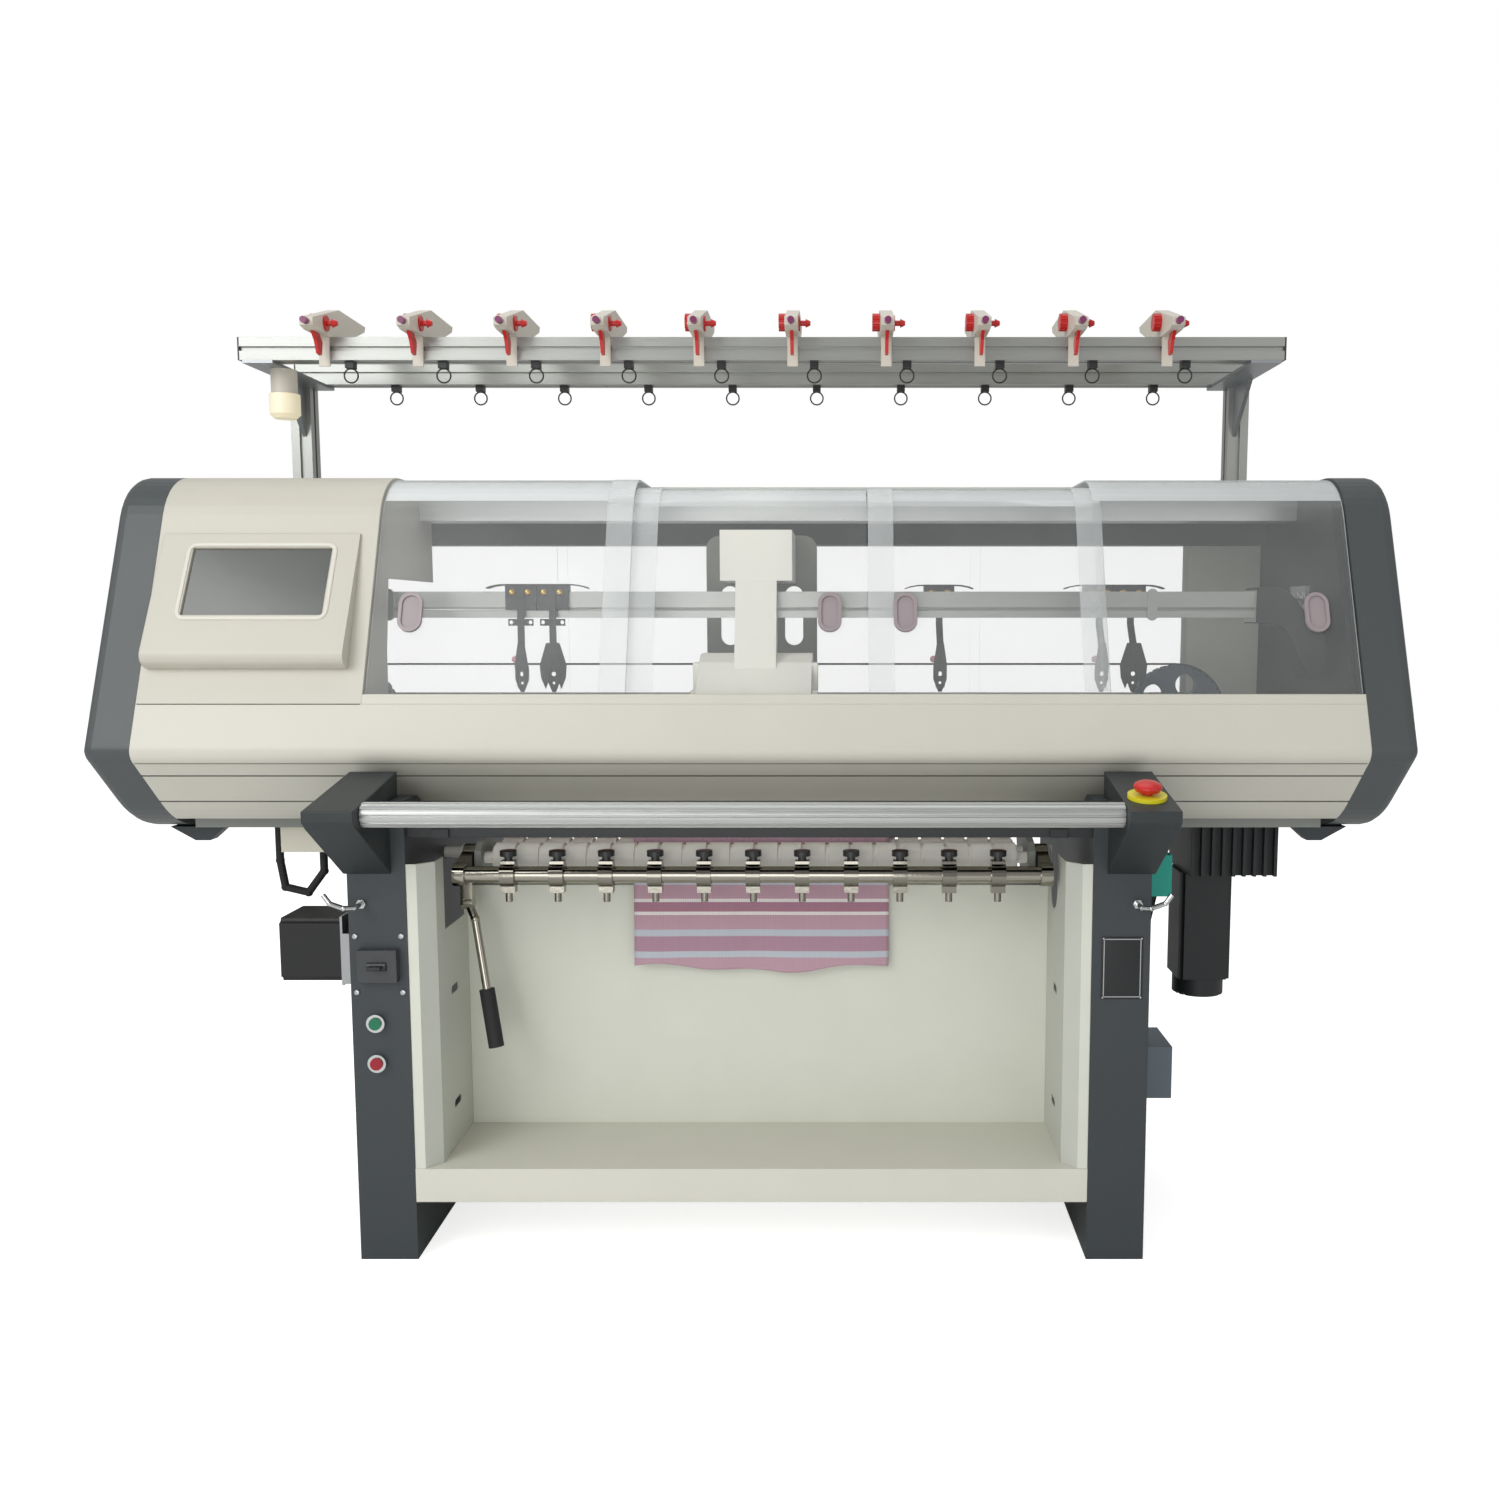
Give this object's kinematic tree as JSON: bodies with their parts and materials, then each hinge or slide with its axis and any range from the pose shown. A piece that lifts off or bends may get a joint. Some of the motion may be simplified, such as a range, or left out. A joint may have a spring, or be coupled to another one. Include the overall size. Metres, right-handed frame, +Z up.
{
  "type": "industrial flat knitting machine",
  "caption": "Computerised flat knitting machine: windowed head with a sliding carriage over V needle beds, take-down rollers below and a yarn tensioner stand above, on box legs.",
  "frame": {"origin": "on the floor, at the centre of the bounding box", "axes": "+X to the machine's right seen from the operator, -Y towards the operator, +Z up"},
  "size_m": [2.194, 0.878, 1.643],
  "materials": {
    "slate_paint": "satin powder coat",
    "dark_beam": "satin",
    "cream_panel": "satin",
    "shelf_paint": "satin",
    "bed_casting": "machined and painted",
    "frame_paint": "satin",
    "cap_paint": "textured powder coat",
    "housing_paint": "textured powder coat",
    "screen_glass": "gloss",
    "rail_aluminium": "anodised",
    "clear_sheet": "clear gloss",
    "bed_steel": "ground",
    "black_plastic": "satin",
    "carriage_paint": "satin",
    "pulley_blue": "satin",
    "belt_rubber": "matte",
    "motor_black": "satin",
    "roller_white": "satin",
    "chrome_plate": "polished",
    "knit_fabric": "knitted",
    "switch_body": "satin",
    "green_cap": "gloss",
    "red_cap": "gloss",
    "tensioner_plastic": "satin",
    "tensioner_red": "gloss",
    "box_grey": "satin"
  },
  "bodies": {
    "machine": {"left_leg": "slate_paint", "right_leg": "slate_paint", "left_handle_bracket": "slate_paint", "right_handle_bracket": "slate_paint", "front_crossbeam": "dark_beam", "recess_panels": "cream_panel", "rear_cover": "cream_panel", "shelf_tray": "shelf_paint", "bed_base": "bed_casting", "head_frame": "frame_paint", "left_end_cap": "cap_paint", "right_end_cap": "cap_paint", "front_apron": "housing_paint", "control_housing": "housing_paint", "touch_screen": "screen_glass", "window_tracks": "rail_aluminium", "feeder_rails": "rail_aluminium", "yarn_stand": "rail_aluminium", "rear_windows": "clear_sheet", "front_needle_bed": "bed_steel", "guide_rails": "bed_steel", "roller_brackets": "bed_steel", "stand_brackets": "bed_steel", "side_tensioner": "bed_steel", "yarn_guides": "black_plastic", "timing_belts": "belt_rubber", "servo_drive": "motor_black", "take_down_motor": "motor_black", "hooks": "chrome_plate", "fabric": "knit_fabric", "switch_panel": "switch_body", "tensioner_bodies": "tensioner_plastic", "signal_lamp": "tensioner_plastic", "tensioner_knobs": "tensioner_red", "electrical_boxes": "box_grey"},
    "window_1": {"window_1": "clear_sheet"},
    "window_2": {"window_2": "clear_sheet"},
    "window_3": {"window_3": "clear_sheet"},
    "window_4": {"window_4": "clear_sheet"},
    "rear_bed": {"rear_needle_bed": "bed_steel"},
    "carriage": {"carriage_cover": "carriage_paint", "carriage_bridge": "carriage_paint"},
    "drive_pulley": {"drive_pulley": "pulley_blue"},
    "idler_pulley": {"idler_pulley": "pulley_blue"},
    "main_roller": {"main_roller": "roller_white"},
    "press_roller": {"press_roller": "roller_white"},
    "take_down_pulley": {"take_down_pulley": "bed_steel"},
    "press_lever": {"press_bar": "chrome_plate", "press_clamps": "bed_steel", "crank_grip": "belt_rubber"},
    "handle_bar": {"handle_bar": "rail_aluminium"},
    "breaker_lever": {"breaker_lever": "black_plastic"},
    "green_button": {"green_button": "green_cap"},
    "red_button": {"red_button": "red_cap"},
    "estop_head": {"estop_head": "red_cap"},
    "yarn_feeder_1": {"yarn_feeder_1": "black_plastic"},
    "yarn_feeder_2": {"yarn_feeder_2": "black_plastic"},
    "yarn_feeder_3": {"yarn_feeder_3": "black_plastic"},
    "yarn_feeder_4": {"yarn_feeder_4": "black_plastic"},
    "yarn_feeder_5": {"yarn_feeder_5": "black_plastic"}
  },
  "joints": [
    {"name": "window_1_slide", "type": "slide", "parent": "machine", "child": "window_1", "axis": [1, 0, 0], "range_m": [0, 0.38]},
    {"name": "window_2_slide", "type": "slide", "parent": "machine", "child": "window_2", "axis": [1, 0, 0], "range_m": [-0.38, 0]},
    {"name": "window_3_slide", "type": "slide", "parent": "machine", "child": "window_3", "axis": [1, 0, 0], "range_m": [0, 0.38]},
    {"name": "window_4_slide", "type": "slide", "parent": "machine", "child": "window_4", "axis": [1, 0, 0], "range_m": [-0.38, 0]},
    {"name": "bed_racking", "type": "slide", "parent": "machine", "child": "rear_bed", "axis": [1, 0, 0], "range_m": [-0.0127, 0.0127]},
    {"name": "carriage_slide", "type": "slide", "parent": "machine", "child": "carriage", "axis": [1, 0, 0], "range_m": [-0.53, 0.53]},
    {"name": "feeder_1_slide", "type": "slide", "parent": "machine", "child": "yarn_feeder_1", "axis": [1, 0, 0], "range_m": [-0.19, 0]},
    {"name": "feeder_2_slide", "type": "slide", "parent": "machine", "child": "yarn_feeder_2", "axis": [1, 0, 0], "range_m": [0, 0.2]},
    {"name": "feeder_3_slide", "type": "slide", "parent": "machine", "child": "yarn_feeder_3", "axis": [1, 0, 0], "range_m": [-0.2, 0.1]},
    {"name": "feeder_4_slide", "type": "slide", "parent": "machine", "child": "yarn_feeder_4", "axis": [1, 0, 0], "range_m": [-0.04, 0]},
    {"name": "feeder_5_slide", "type": "slide", "parent": "machine", "child": "yarn_feeder_5", "axis": [1, 0, 0], "range_m": [0, 0.1]},
    {"name": "drive_pulley_turn", "type": "hinge", "parent": "machine", "child": "drive_pulley", "pos_m": [0.784, 0.121, 0.885], "axis": [0, 1, 0], "continuous": true},
    {"name": "idler_pulley_turn", "type": "hinge", "parent": "machine", "child": "idler_pulley", "pos_m": [-0.784, 0.121, 0.885], "axis": [0, 1, 0], "continuous": true},
    {"name": "main_roller_turn", "type": "hinge", "parent": "machine", "child": "main_roller", "pos_m": [0, -0.068, 0.648], "axis": [1, 0, 0], "continuous": true},
    {"name": "press_roller_turn", "type": "hinge", "parent": "machine", "child": "press_roller", "pos_m": [0, -0.122, 0.648], "axis": [1, 0, 0], "continuous": true},
    {"name": "take_down_pulley_turn", "type": "hinge", "parent": "machine", "child": "take_down_pulley", "pos_m": [-0.688, -0.11, 0.494], "axis": [1, 0, 0], "continuous": true},
    {"name": "press_release", "type": "hinge", "parent": "machine", "child": "press_lever", "pos_m": [0, -0.122, 0.648], "axis": [-1, 0, 0], "range_deg": [0, 30]},
    {"name": "handle_twist", "type": "hinge", "parent": "machine", "child": "handle_bar", "pos_m": [0, -0.398, 0.764], "axis": [1, 0, 0], "range_deg": [-15, 15]},
    {"name": "breaker_toggle", "type": "hinge", "parent": "machine", "child": "breaker_lever", "pos_m": [-0.602, -0.294, 0.501], "axis": [1, 0, 0], "range_deg": [-20, 20]},
    {"name": "green_press", "type": "slide", "parent": "machine", "child": "green_button", "axis": [0, 1, 0], "range_m": [0, 0.004], "stiffness_N_per_m": 800},
    {"name": "red_press", "type": "slide", "parent": "machine", "child": "red_button", "axis": [0, 1, 0], "range_m": [0, 0.004], "stiffness_N_per_m": 800},
    {"name": "estop_press", "type": "slide", "parent": "machine", "child": "estop_head", "axis": [0, 0.1828, -0.9832], "range_m": [0, 0.005], "stiffness_N_per_m": 2000}
  ],
  "couplings": [
    {"joint": "drive_pulley_turn", "follows": "carriage_slide", "rad_per_m": 11.136},
    {"joint": "idler_pulley_turn", "follows": "carriage_slide", "rad_per_m": 11.136},
    {"joint": "press_roller_turn", "follows": "main_roller_turn", "ratio": -1},
    {"joint": "take_down_pulley_turn", "follows": "main_roller_turn", "ratio": 1}
  ]
}
